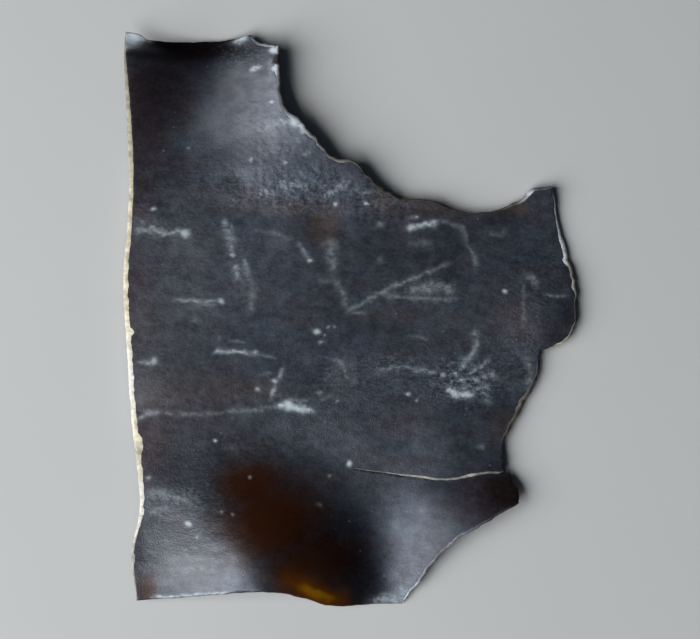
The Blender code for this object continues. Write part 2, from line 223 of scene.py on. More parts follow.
def ragged(distance, seed):
    """A ragged line between about -1 and 1, made of waves of unrelated lengths."""
    lengths = (9.7, 5.3, 3.1, 1.9)
    weights = (0.40, 0.30, 0.20, 0.10)
    return sum(w * np.sin(2 * math.pi * distance / n + seed * (k + 1.7))
               for k, (n, w) in enumerate(zip(lengths, weights)))


def frayed(distance, seed):
    """The finer raggedness of torn fibres."""
    place = np.full_like(distance, seed * 10)
    return layered(distance / 1.9, place, 11) + 0.6 * noise(distance / 0.7, place, 17)


def curve_through(points, step):
    """Points about one step apart on the Catmull-Rom curve through the given ones, without the last."""
    ends = [np.array(p, float) for p in points]
    ends = [2 * ends[0] - ends[1], *ends, 2 * ends[-1] - ends[-2]]
    found = []
    for before, a, b, after in zip(ends, ends[1:], ends[2:], ends[3:]):
        count = max(1, round(float(np.linalg.norm(b - a)) / step))
        t = (np.arange(count) / count)[:, None]
        found.append(0.5 * (2 * a + (b - before) * t + (2 * before - 5 * a + 4 * b - after) * t**2
                            + (3 * a - 3 * b + after - before) * t**3))
    return np.vstack(found)


def along_of(line):
    """How far along the line each of its points lies."""
    return np.concatenate(([0.0], np.cumsum(np.linalg.norm(np.diff(line, axis=0), axis=1))))


def edge_piece(lower, upper, pale, cool):
    """One stretch of edge: its lower and upper points, and how pale and how cool its broken face is there."""
    return {"lower": lower, "upper": upper, "pale": np.broadcast_to(pale, len(lower)),
            "cool": np.broadcast_to(cool, len(lower))}


def finished_stretch(through, coarse, fray, seed, rim, paleness_with_light_and_shade, coolness, nicks):
    """A stretch of the edge. Everything that roughens it fades out at its corners."""
    line = curve_through(through, EDGE_STEP)
    count = len(line)
    share = np.arange(count) / count
    distance = along_of(line)
    ahead = line[np.minimum(np.arange(count) + 1, count - 1)] - line[np.maximum(np.arange(count) - 1, 0)]
    inward = np.stack((-ahead[:, 1], ahead[:, 0]), axis=1) / np.linalg.norm(ahead, axis=1, keepdims=True)
    fade = np.sqrt(np.sin(math.pi * share))
    rough = coarse * ragged(distance, seed) + fray * frayed(distance, seed)
    width, pale, cool = (np.interp(share, *zip(*pairs)) for pairs in (rim, paleness_with_light_and_shade, coolness))
    worn = width * (1 + RIM_WEAR * frayed(distance, seed + 3))
    for place, half_length, depth in nicks:
        away = (distance - place * distance[-1]) / half_length
        worn = worn + depth * np.clip(1.2 - away**2, 0, 1)
    lower = line - inward * (rough * fade)[:, None]
    return edge_piece(lower, lower + inward * (np.maximum(worn, 0.0) * fade)[:, None], pale, cool)


def crack_line():
    """The line that the crack runs along, a little unevenly, from its mouth to its tip."""
    line = np.vstack((curve_through(CRACK, EDGE_STEP), CRACK[-1]))
    fade = np.sin(math.pi * np.linspace(0, 1, len(line)))
    wander = CRACK_WANDER * frayed(line[:, 0] - CRACK[-1][0], CRACK_SEED) * fade
    return line + np.stack((np.zeros(len(line)), wander), axis=1)


CRACK_LINE = crack_line()


def crack_banks():
    """The crack, in along its lower bank to the tip and back out along its upper bank."""
    line = CRACK_LINE
    mouth, tip = line[0, 0], line[-1, 0]
    half_gap = CLOSED_GAP / 2 * (line[:, 0] - tip) / (mouth - tip)
    lower = line - np.stack((np.zeros(len(line)), half_gap), axis=1)
    upper = line + np.stack((np.zeros(len(line)), half_gap), axis=1)
    back = upper[:-1][::-1]
    back = back[back[:, 0] < RIGHT_TEAR[0][0] - CRACK_LIP]
    # The upper bank's broken face leans back, and shows from above for most of its length.
    share = (back[:, 0] - tip) / (mouth - tip)
    worn = np.clip(1 + RIM_WEAR * frayed(share * 30, CRACK_SEED + 1), 0.8, 1.2)
    lean = np.interp(share, *zip(*CRACK_LEAN)) * worn
    leaned = back + np.stack((np.zeros(len(back)), lean), axis=1)
    pale = np.interp(share, *zip(*CRACK_PALE_AND_HIGHLIGHTS))
    return edge_piece(lower, lower, 0.03, 0.6), edge_piece(back, leaned, pale, 0.4)


def whole_edge():
    """The closed edge, anticlockwise, with all its stretches joined."""
    pieces = []
    for finish in FINISHES:
        if finish[0] is RIGHT_TEAR:
            pieces.extend(crack_banks())
        pieces.append(finished_stretch(*finish))
    return {key: np.concatenate([piece[key] for piece in pieces]) for key in pieces[0]}


# ---- the relief

def margin_wave(wave, x, y, side):
    """How far in a margin a point lies, from 0 to 1, and the wave's height there."""
    share = np.clip((side * y - wave["start"]) / wave["depth"], 0.0, 1.0)
    share = share**3 * (6.0 * share**2 - 15.0 * share + 10.0)
    turns = (x - wave["crest"] - wave["lean"] * (y - wave["at"])) / wave["length"]
    turn = turns - np.floor(turns)
    falling = wave["falling"]
    phase = np.where(turn < falling, turn / falling, 1.0 + (turn - falling) / (1.0 - falling))
    height = np.where(turns < falling, *wave["heights"])
    return share, height / 2 * (1.0 + np.cos(math.pi * phase))


def flap_drop(x, y):
    """The flap under the crack hangs lower, most of all at the crack's mouth."""
    crack_x, crack_y = CRACK_LINE[::-1].T
    below = np.interp(x, crack_x, crack_y) - y
    along = smooth_step((x - crack_x[0]) / (crack_x[-1] - crack_x[0]))
    return np.where(below > 0, FLAP_DROP * along * np.exp(-np.maximum(below, 0.0) / FLAP_REACH), 0.0)


def bulges(places, x, y):
    """Smooth swellings and dents, each as centre X, centre Y, radius and height."""
    return sum(rise * np.exp(-((x - at_x) ** 2 + (y - at_y) ** 2) / radius**2)
               for at_x, at_y, radius, rise in places)


def ovals(places, x, y):
    """Smooth oval swellings and hollows, added together."""
    total = 0.0
    for centre_x, centre_y, half_length, half_width, turn, rise in places:
        cos, sin = math.cos(math.radians(turn)), math.sin(math.radians(turn))
        along = ((x - centre_x) * cos + (y - centre_y) * sin) / half_length
        across = ((y - centre_y) * cos - (x - centre_x) * sin) / half_width
        total = total + rise * np.exp(-(along**2) - across**2)
    return total


def waves(x, y):
    """The height of the underside's waves, swellings and rolled edge."""
    lower_share, lower = margin_wave(LOWER_WAVE, x, y, -1)
    upper_share, upper = margin_wave(UPPER_WAVE, x, y, 1)
    band = BOW["level"] + BOW["height"] * np.cos(math.pi * (x - BOW["crest"]) / BOW["length"])
    height = band * (1 - lower_share) * (1 - upper_share) + lower_share * lower + upper_share * upper
    height = height + ovals(SWELLINGS, x, y) + LEAN[0] * x + LEAN[1] * y
    roll_along = smooth_step(1.5 - np.abs(x - ROLL["centre"]) / ROLL["half_width"])
    roll_in = smooth_step(1 - (ROLL["edge"] - y) / ROLL["reach"])
    tip_x, tip_y = TIP_BEND["at"]
    bend = TIP_BEND["drop"] * smooth_step(1 - np.hypot(x - tip_x, y - tip_y) / TIP_BEND["reach"])
    return height * (1 - ROLL["share"] * roll_along * roll_in) - bend


def relief(x, y):
    """The height of the sheet's underside, as its solid has it."""
    return waves(x, y) - flap_drop(x, y) - SINK


def thickness(x, y):
    """Thick along the blade's middle band, thin beside it and thinnest at the brims."""
    off_band = np.abs(y - BAND_CENTRE) - BAND_HALF_WIDTH
    skirt = MARGIN_THICKNESS + (BAND_THICKNESS - MARGIN_THICKNESS) * (1 - smooth_step(off_band / BAND_FADE))
    brim = smooth_step((np.abs(y) - BRIM_START) / (BLADE_WIDTH / 2 - BRIM_START))
    return skirt + (BRIM_THICKNESS - MARGIN_THICKNESS) * brim


# Where the skin is smoother and where it is grainier than elsewhere: centre X, centre Y, half length, half
# width, strength.
SMOOTH = (
    (-31, 50, 19, 13, 0.9), (15, -48, 12, 11, 0.6), (-13, -47, 14, 13, 0.5), (-3.2, -12.8, 4.4, 4, 0.8),
)
GRAINY = (
    (-37, -53, 12, 9, 0.8), (-37, -33, 12, 8, 0.6), (41, 6, 9, 15, 0.9), (22, -14, 14, 8, 0.7),
    (-2, -20, 20, 6, 0.8), (-10, 30, 18, 5, 0.5),
)

# Wrinkles all over: height, length along X, width along Y, seed, how many finer layers.
WRINKLES = ((0.12, 15, 11, 3, 2), (0.022, 6, 4.5, 21, 3), (0.011, 2.3, 1.7, 31, 2))
SMOOTHED = 0.8  # how much of them the smooth places lose
CRINKLE_HEIGHT = 0.07

# Small dents and bumps: centre X, centre Y, radius, height.
DIMPLES = (
    (-7, 47, 9, -0.35), (14, -60, 8, -0.4), (15, -50, 5, 0.15), (52, 10, 7, 0.4), (-36, -47, 6.5, -0.25),
    (-19, 63, 6, 0.2), (43.5, 0, 4, 0.25), (36.5, 21.5, 3.5, -0.3), (-24.5, 30.5, 2.2, -0.25),
    (-45, 24.5, 2.6, 0.2), (-28, -30, 2.2, -0.2), (31, -24, 4, 0.25), (24, -50, 5, -0.3),
)
DISH = {"at": (-3.2, -13.0), "radius": 3.9, "wall": 2.2, "depth": 0.12}  # a round dent with a soft wall

# Where drying has crinkled the skin: centre X, centre Y, half length, half width, strength.
CRINKLES = (
    (-12, 29.5, 21, 6, 1), (-17, 42, 8, 9, 0.7), (8, 24.5, 8, 4.5, 0.8), (27, -13, 11, 6.5, 0.7),
    (-39, -41, 8, 4, 0.7), (32, -38.5, 6, 6, 0.8), (28, -28, 8, 6, 0.5), (-24, -29, 9, 3.5, 0.5),
    (-44, 26, 6, 4, 0.4), (-29, -19, 17, 3, 0.4), (42, 8, 7, 12, 0.4),
)


def within(patches, x, y):
    """How far inside the given oval patches each place lies, 0 to about 1."""
    found = np.zeros(np.broadcast(x, y).shape)
    for centre_x, centre_y, half_length, half_width, strength in patches:
        away = ((x - centre_x) / half_length) ** 2 + ((y - centre_y) / half_width) ** 2
        found = np.maximum(found, strength * np.exp(-away**1.5))
    return found


def fine_relief(x, y):
    """What drying adds to the relief, through the whole thickness of the sheet."""
    height = sum(rise * layered(x / length, y / width, seed, layers)
                 for rise, length, width, seed, layers in WRINKLES)
    height = height * (1 - SMOOTHED * within(SMOOTH, x, y)) + bulges(DIMPLES, x, y)
    away = np.hypot(x - DISH["at"][0], y - DISH["at"][1])
    height = height - DISH["depth"] * smooth_step((DISH["radius"] - away) / DISH["wall"] + 0.5)
    crinkle = creased(x / 2.8, y / 2.2, 41) + 0.8 * creased(x / 1.4, y / 1.2, 47, 2) - 0.9
    return height + CRINKLE_HEIGHT * within(CRINKLES, x, y) * crinkle


def faces_over(points):
    """The heights of the sheet over flat points, and the upward normal there."""
    x, y = points.T
    height = relief(x, y) + fine_relief(x, y)
    slope_x = (waves(x + NORMAL_REACH, y) - waves(x - NORMAL_REACH, y)) / (2 * NORMAL_REACH)
    slope_y = (waves(x, y + NORMAL_REACH) - waves(x, y - NORMAL_REACH)) / (2 * NORMAL_REACH)
    normal = np.stack((-slope_x, -slope_y, np.ones_like(x)), axis=1)
    return height, normal / np.linalg.norm(normal, axis=1, keepdims=True)


def under_side(points):
    return np.column_stack((points, np.maximum(0.0, faces_over(points)[0])))


def upper_side(points):
    height, normal = faces_over(points)
    return np.column_stack((points, height)) + normal * thickness(*points.T)[:, None]


# ---- bloom, scuffs and stains, and painted light and shade

# Scuffs and streaks of pale bloom, and three painted highlights: width, strength, then X and Y of each point
# that they run through. The painted highlights are where the sheet's edges catch the lamp: the thin line
# along the lower margin from X -44.6 to -26, the broad mark at the lower right corner from X 4 to 12.6, and
# the short line on the upper edge from X -26 to -22.8.
SCUFFS_AND_HIGHLIGHTS = (
    (1, 0.38, -48.6, 19.6, -44, 19.7, -40.5, 18.8, -35.6, 19.1), (0.7, 0.3, -48, 22.3, -45.4, 20.6),
    (0.7, 0.38, -39.3, 4.2, -34, 3.8, -28.8, 3.8), (0.6, 0.17, -35, 3.2, -29.5, 2.9),
    (0.6, 0.17, -36, -0.6, -33.6, -0.4), (0.6, 0.51, -30.9, -8.1, -29.3, -7.3, -24.6, -7.3, -20.4, -7.9),
    (0.6, 0.24, -20.4, -7.9, -16.2, -8.9), (0.5, 0.19, -27.4, -4.9, -23, -5.4),
    (0.6, 0.21, -29.4, -3.6, -29.2, -5.2), (0.8, 0.38, -48, -10, -43, -9.6),
    (0.8, 0.47, -47.4, -23, -45.6, -21, -42.2, -20.8),
    (0.8, 0.19, -42.2, -20.9, -36, -21.2, -30, -21, -25.6, -20.5, -20.4, -20.3, -17, -19.4),
    (0.9, 1.1, -16.6, -19.5, -14.2, -19.2, -12.2, -19.9, -10.6, -20.2), (0.9, 0.77, -12.4, -19.9, -8, -20.7),
    (0.6, 0.38, -14.2, -17.9, -11.6, -18.5, -9.6, -18.3),
    (0.6, 0.38, -15.1, -10.5, -15.7, -12.6, -17, -13.9, -17.2, -15.8, -17.9, -17.9),
    (0.6, 0.22, -20.9, -12.7, -17.4, -12), (1.2, 0.31, -28.2, 22.6, -27.2, 18, -26.1, 14.2),
    (0.9, 0.24, -26.7, 21.5, -26, 18, -25.4, 15), (1.5, 0.36, -25.7, 12.4, -25.4, 10, -24.6, 8),
    (1.1, 0.34, -24, 13.4, -23.2, 11, -22.6, 9.4), (1.2, 0.19, -22.6, 9.4, -21.7, 6.4, -22.6, 1),
    (0.7, 0.14, -22, 19.6, -16, 18.6, -12, 17), (0.7, 0.32, -12, 17, -10.4, 15.2, -9, 12.8),
    (2, 0.26, -4.7, 18, -4.3, 14, -3.8, 10.4), (0.8, 0.14, -7.8, 8.4, -2.2, 8.4),
    (1.2, 0.2, -3.6, 9, -2, 5.8, -1, 1.8), (0.7, 0.28, -1, 1.6, 3.8, 4.2, 8, 6.6, 14.3, 9.2, 22.1, 12.6),
    (0.6, 0.22, -0.8, 1.5, 3.2, 1), (0.9, 0.22, 4.8, 6, 9.5, 5, 16.4, 4.5, 23.7, 4.2),
    (1.7, 0.31, 12.6, 6.4, 16, 6.9, 20.4, 7.1, 23.2, 5.8), (0.8, 0.85, 11.8, 20, 15.4, 20.6, 19.4, 21.5),
    (0.8, 0.34, 12.4, 22.3, 15, 22.6), (1.3, 0.14, 11.7, 16.8, 18.5, 16.8),
    (0.8, 0.2, 19.8, 22, 24.6, 20.4, 25.8, 16.8, 27.4, 14, 27.9, 11.2),
    (0.7, 0.15, 30.6, 19.4, 33.6, 18.4, 35, 20.2), (1.3, 0.6, 27.9, -2.6, 27.9, -4.4),
    (1, 0.42, 27.9, -4.4, 27.7, -7, 25.8, -9.4, 24.2, -11.6),
    (0.6, 0.31, 31.1, -8.9, 27.9, -11.6, 25.4, -12.8), (1.15, 0.95, 21.4, -15.6, 23.7, -17.1, 27.4, -17.1),
    (0.8, 0.36, 19.6, -14.6, 21.6, -16), (0.6, 0.42, 21.8, -12.7, 23.8, -12.1),
    (0.8, 0.22, -5.6, -9, -3, -9.4, -1.2, -11.2, -0.6, -13.6), (0.6, 0.14, -0.4, -13.2, 1.2, -14.6),
    (0.7, 0.16, -7.2, -18.6, -4.6, -17.2, -2.8, -17.6), (0.6, 0.51, 23.4, -14, 25.6, -13.3),
    (0.6, 0.42, 26.6, -13.2, 29.4, -14.3), (0.6, 0.34, 23.8, -15.7, 26.8, -14.9),
    (0.6, 0.3, 28.4, -16.3, 31.2, -17.4), (0.9, 0.32, 30.4, -11.8, 32.6, -13.6),
    (1.3, 0.19, 38.8, -8, 40.2, -12, 39.4, -16), (0.7, 0.47, 26.6, -16.2, 28.4, -15.6, 30.6, -15.2),
    (0.6, 0.31, 22.6, -12, 24.4, -13.6, 27.8, -13.6), (0.9, 0.45, 29, -18.2, 31.6, -18.9),
    (0.6, 0.26, 4.8, -11.6, 11.6, -10.8, 15.3, -11.6, 19.6, -12.2),
    (0.6, 0.17, 13, -3.9, 15.3, -4.1, 18, -4.8), (1.3, 0.3, 38.8, 9.8, 40.4, 9, 41.4, 6.8),
    (0.8, 0.14, 38.6, 8, 38.4, 2, 38.8, -2), (0.6, 0.26, 43.2, 5.2, 48, 4.6),
    (1.4, 0.26, -45, -38.6, -40, -39.4, -34.6, -41), (1, 0.34, -45.2, -43.4, -41, -42.4),
    (0.5, 1.2, -22.2, 54.8, -21.2, 55.4, -20.2, 55.6, -19.2, 55.5), (1, 0.25, -17.4, 58, -17.4, 52.4),
    (1, 0.34, -19.6, 41.6, -15.4, 43.8, -12.8, 43.4), (0.7, 0.38, -10.8, 36.3, -8.6, 37.4),
    (1, 0.26, -16.7, 30.2, -13, 29.8, -9.9, 29.9), (0.7, 0.31, -20.4, 28.3, -16.2, 27.8),
    (0.9, 0.31, -6.6, 27, -3.4, 28.8, -0.6, 31), (0.7, 0.31, 1.2, 28.4, 5.2, 28.4),
    (0.8, 1, -26, 61.6, -22.8, 62.4), (2, 0.5, 4, -63.4, 11, -62.6, 12.6, -59.4),
    (1, 0.55, -17, 59.4, -16.6, 60), (0.5, 0.75, -44.6, -62, -37, -61.4, -30.9, -60.7, -26, -60.1),
    (0.6, 0.15, -22.5, -59.9, -19.5, -59.6), (0.9, 0.13, -41.4, -53.6, -35, -53, -30, -53.4, -24, -52.6),
    (0.8, 0.15, -40.5, -55.6, -35, -55.2, -29, -55.6), (0.9, 0.13, -37.2, -57.6, -31, -57, -24, -57.4),
    (0.8, 0.12, -35.4, -50.4, -31, -50.8, -26.7, -50.2), (1.1, 0.12, -35, -47, -31.4, -48.6, -28, -51),
)

# Single flecks: X, Y, radius, strength. The four at the curled upper left tip, near X -48 and Y 61, and the
# one at X -23.6, Y 62.7 on the upper edge are painted highlights where the edge catches the lamp.
FLECKS_AND_HIGHLIGHTS = (
    (-44, 24.2, 0.47, 0.74), (-36.7, 18.9, 0.9, 0.74), (-41.4, 18.7, 0.6, 0.41), (-44.2, 20.2, 0.52, 0.41),
    (-26.1, 14.2, 0.52, 0.57), (-25.6, 11.4, 0.52, 0.49), (-29, 3.8, 0.65, 0.66), (-43.7, -9.5, 0.77, 0.66),
    (-29.4, -7.4, 0.43, 0.66), (-26.2, -7.2, 0.39, 0.66), (-17, -13.8, 0.52, 0.74),
    (-17.2, -15.8, 0.43, 0.57), (-20.9, -15.8, 0.52, 0.49), (-9.1, 12.9, 0.43, 0.74),
    (-7.8, -2.9, 0.65, 0.82), (-6.7, -5.3, 0.52, 0.41), (-5.2, -1.9, 0.3, 0.41), (-3.8, -1.8, 0.3, 0.41),
    (-6, -3.6, 0.26, 0.41), (-7, -16.6, 0.6, 0.29), (-3.1, -18.3, 0.43, 0.33), (-30.4, -27.3, 0.39, 0.82),
    (-0.4, -32.4, 0.62, 0.9), (-4.9, -35.2, 0.34, 0.37), (-35.6, -45.7, 0.69, 0.9),
    (-33.8, -48.3, 0.43, 0.41), (-22.5, -35.7, 0.34, 0.49), (-28.4, -43, 0.34, 0.33),
    (-25.9, -43.6, 0.34, 0.33), (-7.4, -41.7, 0.52, 0.18), (-45.1, -35.4, 0.52, 0.49), (34.3, 6, 0.43, 0.82),
    (12.8, -17.1, 0.39, 0.66), (14.6, -18.2, 0.3, 0.41), (3.5, 25.5, 0.43, 0.74), (-3.5, 25.5, 0.43, 0.74),
    (6.4, 21, 0.69, 0.29), (14.5, 22.6, 0.39, 0.57), (6.4, 13.1, 0.77, 0.11), (-22, 35.4, 0.34, 0.66),
    (-14.3, 34.7, 0.43, 0.49), (-5.1, 36.8, 0.43, 0.66), (-17.2, 48, 0.43, 0.82), (-12.6, 43.9, 0.77, 0.66),
    (-15.1, 44.1, 0.43, 0.57), (-36.1, 37.8, 0.39, 0.29), (20.6, -12.6, 0.52, 0.49),
    (23.2, -12.3, 0.35, 0.66), (24.5, -13.7, 0.35, 0.66), (27.9, -13.7, 0.45, 0.46), (21.6, -16, 0.45, 0.66),
    (25.6, -15.2, 0.26, 0.46), (29.8, -13, 0.34, 0.41), (22.4, -14.4, 0.26, 0.46), (16.4, -42.5, 0.86, 0.2),
    (10, -46.2, 0.95, 0.2), (28.8, -28.9, 0.69, 0.2), (-48.8, 61.8, 2.1, 1.9), (-46.6, 62.2, 1.2, 1.12),
    (-49.4, 59.6, 0.9, 1.12), (-45.2, 61.6, 0.9, 0.4), (-13.9, -19.4, 1.12, 0.98), (21.9, -15.9, 0.43, 0.9),
    (23.4, -16.8, 0.52, 1.07), (25, -17.2, 0.52, 0.98), (26.8, -17, 0.43, 0.74), (-16.9, 59.3, 0.7, 1.1),
    (-16.5, 55.3, 0.6, 1.1), (-12, 43.6, 1.05, 1.1), (-10.4, 42, 0.65, 0.95), (-23.6, 62.7, 0.75, 0.95),
)

# Where the whole skin is dustier: centre X, centre Y, half length, half width, strength.
DUSTY = (
    (-12, 29, 19, 5.5, 0.5), (-17, 42, 8, 10, 0.45), (-22, 58.5, 7, 4.5, 0.35), (6, 27, 8, 3.5, 0.55),
    (25, -14, 8, 5, 0.8), (8, -10.6, 9, 2.6, 0.45), (36, -9, 6, 8, 0.28), (2, -12, 14, 5, 0.22),
    (-4.2, -12.8, 4.2, 3.8, 0.38), (-38, -41, 9, 3.5, 0.4), (13, -45, 4, 6, 0.28), (-36, -53, 10, 8, 0.4),
    (-44, 19.5, 6, 2.5, 0.3), (15, 6.5, 10, 3, 0.2), (-25, 12, 4, 10, 0.15),
)

# Brown patches in the skin.
STAINS = (
    (-6, 20.5, 3.6, 4, 1), (-24, 27, 9, 2.2, 0.45), (-14, 24.5, 14, 1.6, 0.55), (22, 24.8, 12, 1.6, 0.8),
    (7.5, 26.4, 3.2, 2.6, 0.9), (37, 24.6, 3, 1.6, 0.9), (-30, -15.5, 15, 2.6, 0.55), (-44.5, -28, 3, 3, 0.5),
    (34, -39, 5, 4, 0.3), (36, -1, 5, 5, 0.4), (-45.5, -60.5, 2.4, 3, 0.3), (33.5, -24, 2.5, 4, 0.5),
    (9, 1, 8, 2, 0.3),
)

# Where the thin skin is a clear brown: partly its own brown, and partly painted light, the brown of light
# coming through the thin lower slope that turns away from the lamp.
BROWN_AND_LIGHT_THROUGH_PATCHES = (
    (-22, -37.5, 7.5, 5.5, 0.9), (-17, -45, 10.5, 8.5, 1), (-10, -54, 9, 7, 0.8), (-45.2, -60, 2.4, 3, 0.45),
)
# Where the skin is redder, where it is a more neutral grey, and where shade is painted on: a darker colour
# and weaker reflections where the rolled upper edge, the flap and some slopes turn away from the lamp.
WARM = (
    (-47, 43, 6, 14, 1), (-41, 50, 7, 8, 0.6), (-47, 27, 4, 8, 0.7), (-48, 5, 3.5, 14, 0.6),
    (-46, -27, 6, 9, 0.9), (-36, -20, 11, 8, 0.5), (20, 25.5, 18, 2.5, 0.8), (32, -40, 8, 6, 0.9),
    (37, 1, 7, 6, 0.3), (-6, 20.5, 3.6, 4, 0.6),
)
GREY = (
    (-38, -52, 14, 13, 1), (-46, -10, 14, 40, 1), (-34, -26, 18, 12, 0.9), (-22, 48, 12, 16, 0.6),
    (22, -54, 8, 9, 0.4), (-3.2, -12.8, 4.6, 4.2, 0.8),
)
PAINTED_SHADE_PATCHES = (
    (-36, 60.5, 11.5, 4, 1), (36, -38.8, 8, 5, 0.95), (-44, 51, 7, 10, 0.3), (-3, -52, 9, 10, 0.45),
    (-20, -38, 8, 5, 0.35),
)
# Light coming through the thin lower margin: a streak along a path, and its halo.
GLOW = {"through": ((-13.8, -57.7), (-11.8, -58.8), (-9.6, -60), (-7.6, -61.1), (-5.6, -62), (-3, -62.5)),
        "strength": ((0, 0.15), (0.25, 0.6), (0.45, 0.85), (0.6, 1), (0.8, 0.75), (1, 0.3)),
        "width": 1.6, "halo": 3.1, "halo_strength": 0.4}


def along_path(x, y, points):
    """How far each place lies from the path through the points, how far along it, and the path's length."""
    nearest = np.full(x.shape, np.inf)
    place = np.zeros(x.shape)
    passed = 0.0
    for (ax, ay), (bx, by) in zip(points, points[1:]):
        run_x, run_y = bx - ax, by - ay
        length = math.hypot(run_x, run_y)
        t = np.clip(((x - ax) * run_x + (y - ay) * run_y) / length**2, 0, 1)
        away = np.hypot(x - ax - t * run_x, y - ay - t * run_y)
        place = np.where(away < nearest, passed + t * length, place)
        nearest = np.minimum(nearest, away)
        passed += length
    return nearest, place, passed


def glow_over(x, y):
    """How much light comes through the thin lower margin, in one slanting streak with a dimmer halo."""
    bent_x, bent_y = x + 0.6 * noise(x / 3.0, y / 3.0, 91), y + 0.6 * noise(x / 3.0, y / 3.0, 93)
    nearest, place, length = along_path(bent_x, bent_y, GLOW["through"])
    strength = np.interp(place / length, *zip(*GLOW["strength"])) * (1 + 0.35 * noise(x / 1.8, y / 1.3, 97))
    streak = strength * np.exp(-((nearest / GLOW["width"]) ** 2))
    halo = GLOW["halo_strength"] * np.exp(-((nearest / GLOW["halo"]) ** 2))
    return np.clip(np.hypot(streak, halo), 0, 1)


def stroke_mask(x, y, width, points, seed):
    """1 on the path, falling to 0 about a width away. It is uneven, and thins at its ends."""
    nearest, place, length = along_path(x, y, points)
    bead = 0.90 + 0.30 * noise(place / 1.8, np.full(x.shape, seed * 3.7), 83)
    swell = 0.85 + 0.45 * noise(place / 2.4, np.full(x.shape, seed * 5.1), 89)
    taper = smooth_step(0.3 + place / 2.2) * smooth_step(0.3 + (length - place) / 2.2)
    reach = 0.85 * width * np.clip(swell, 0.5, 1.3)
    return np.clip(bead, 0.4, 1.2) * taper * np.exp(-((nearest / reach) ** 2))


def bloom_and_highlights_over(x, y):
    """How much pale bloom lies at each place, some painted highlights among it: strokes and flecks, and apart
    from them the thin dust.
    """
    bent_x = x + 0.30 * noise(x / 2.2, y / 2.2, 61) + 0.10 * noise(x / 0.8, y / 0.8, 63)
    bent_y = y + 0.30 * noise(x / 2.2, y / 2.2, 67) + 0.10 * noise(x / 0.8, y / 0.8, 69)
    crisp = np.zeros(x.shape)
    for seed, (width, strength, *run) in enumerate(SCUFFS_AND_HIGHLIGHTS):
        points = np.reshape(run, (-1, 2))
        low, high = points.min(axis=0) - 3 * width - 1, points.max(axis=0) + 3 * width + 1
        near = np.flatnonzero((x > low[0]) & (x < high[0]) & (y > low[1]) & (y < high[1]))
        mask = strength * stroke_mask(bent_x[near], bent_y[near], width, points, seed)
        crisp[near] = np.maximum(crisp[near], mask)
    patchy = 0.95 + 0.45 * noise(x / 1.3, y / 0.9, 73) + 0.35 * noise(x / 0.7, y / 0.45, 79)
    crisp = crisp * np.clip(patchy, 0.4, 1.4)
    for centre_x, centre_y, radius, strength in FLECKS_AND_HIGHLIGHTS:
        away = np.hypot((bent_x - centre_x) * 0.85, bent_y - centre_y) / radius
        crisp = np.maximum(crisp, strength * np.exp(-(away**2.5)))
    return crisp, within(DUSTY, x, y)


# ---- the mesh

def inside(points, edge):
    """Which of the points lie within the closed edge."""
    crossings = np.zeros(len(points), int)
    for (ax, ay), (bx, by) in zip(edge, np.roll(edge, -1, axis=0)):
        level = np.flatnonzero((points[:, 1] >= min(ay, by)) & (points[:, 1] < max(ay, by)))
        if len(level):
            crossing = ax + (points[level, 1] - ay) / (by - ay) * (bx - ax)
            crossings[level] += points[level, 0] < crossing
    return crossings % 2 == 1


def clear_of(points, edge, distance):
    """Which of the points lie further than that from the edge's points."""
    cells = {}
    for place in edge:
        cells.setdefault(tuple(np.floor(place / distance).astype(int)), []).append(place)
    keep = np.ones(len(points), bool)
    for k, (cell, point) in enumerate(zip(np.floor(points / distance).astype(int), points)):
        near = [p for i in (-1, 0, 1) for j in (-1, 0, 1) for p in cells.get((cell[0] + i, cell[1] + j), ())]
        if near and np.min(np.hypot(*(np.array(near) - point).T)) < distance:
            keep[k] = False
    return keep


def spread(step):
    """Flat points about one step apart, over the whole sheet and a little beyond it."""
    row_step = step * math.sqrt(3) / 2
    rows = np.arange(-BLADE_WIDTH / 2 - 1, BLADE_WIDTH / 2 + 1, row_step)
    columns = np.arange(-BLADE_LENGTH / 2 - 1, BLADE_LENGTH / 2 + 1, step)
    grid_x, grid_y = np.meshgrid(columns, rows)
    grid_x = grid_x + (step / 2 * (np.arange(len(rows)) % 2))[:, None]
    return np.column_stack((grid_x.ravel(), grid_y.ravel()))


def filled(edge, grid, step):
    """Triangles over the flat shape within the edge, as its points and faces. The edge's points come first,
    and then the points of the grid that lie well within it."""
    grid = grid[inside(grid, edge)]
    grid = grid[clear_of(grid, edge, CROWDED * step)]
    wanted = [Vector(p) for p in np.vstack((edge, grid))]
    flat, _, faces, origins, _, _ = delaunay_2d_cdt(wanted, [], [list(range(len(edge)))], 1, 1e-7)
    order = [found[0] for found in origins]
    if order[:len(edge)] != list(range(len(edge))):
        raise ValueError("the edge crosses itself")
    return np.array([tuple(p) for p in flat]), np.array(faces)


def rim_rows(lower, upper, edge):
    """The rows of points between the lower and the upper edge. Cut and torn faces are a little uneven, and
    natural margins are rounded."""
    ahead = np.roll(lower, -1, axis=0) - np.roll(lower, 1, axis=0)
    outward = np.stack((ahead[:, 1], -ahead[:, 0], np.zeros(len(ahead))), axis=1)
    outward /= np.linalg.norm(outward, axis=1, keepdims=True)
    distance = along_of(lower[:, :2])
    rows = []
    for row in range(1, RIM_ROWS):
        step = row / RIM_ROWS
        t = np.where(edge["pale"] > 0, step**2, step)
        torn = 0.06 * noise(distance / 0.9, np.full(len(distance), 5.3 * row), 71) * (edge["pale"] > 0)
        rounded = MARGIN_BULGE * math.sin(math.pi * step) * (edge["pale"] == 0)
        climb = np.where(edge["pale"] > 0, 1 - (1 - step) ** RIM_STEEPNESS, step)
        lean = np.stack((t, t, climb), axis=1)
        rows.append(lower + (upper - lower) * lean + outward * (torn + rounded)[:, None])
    return rows


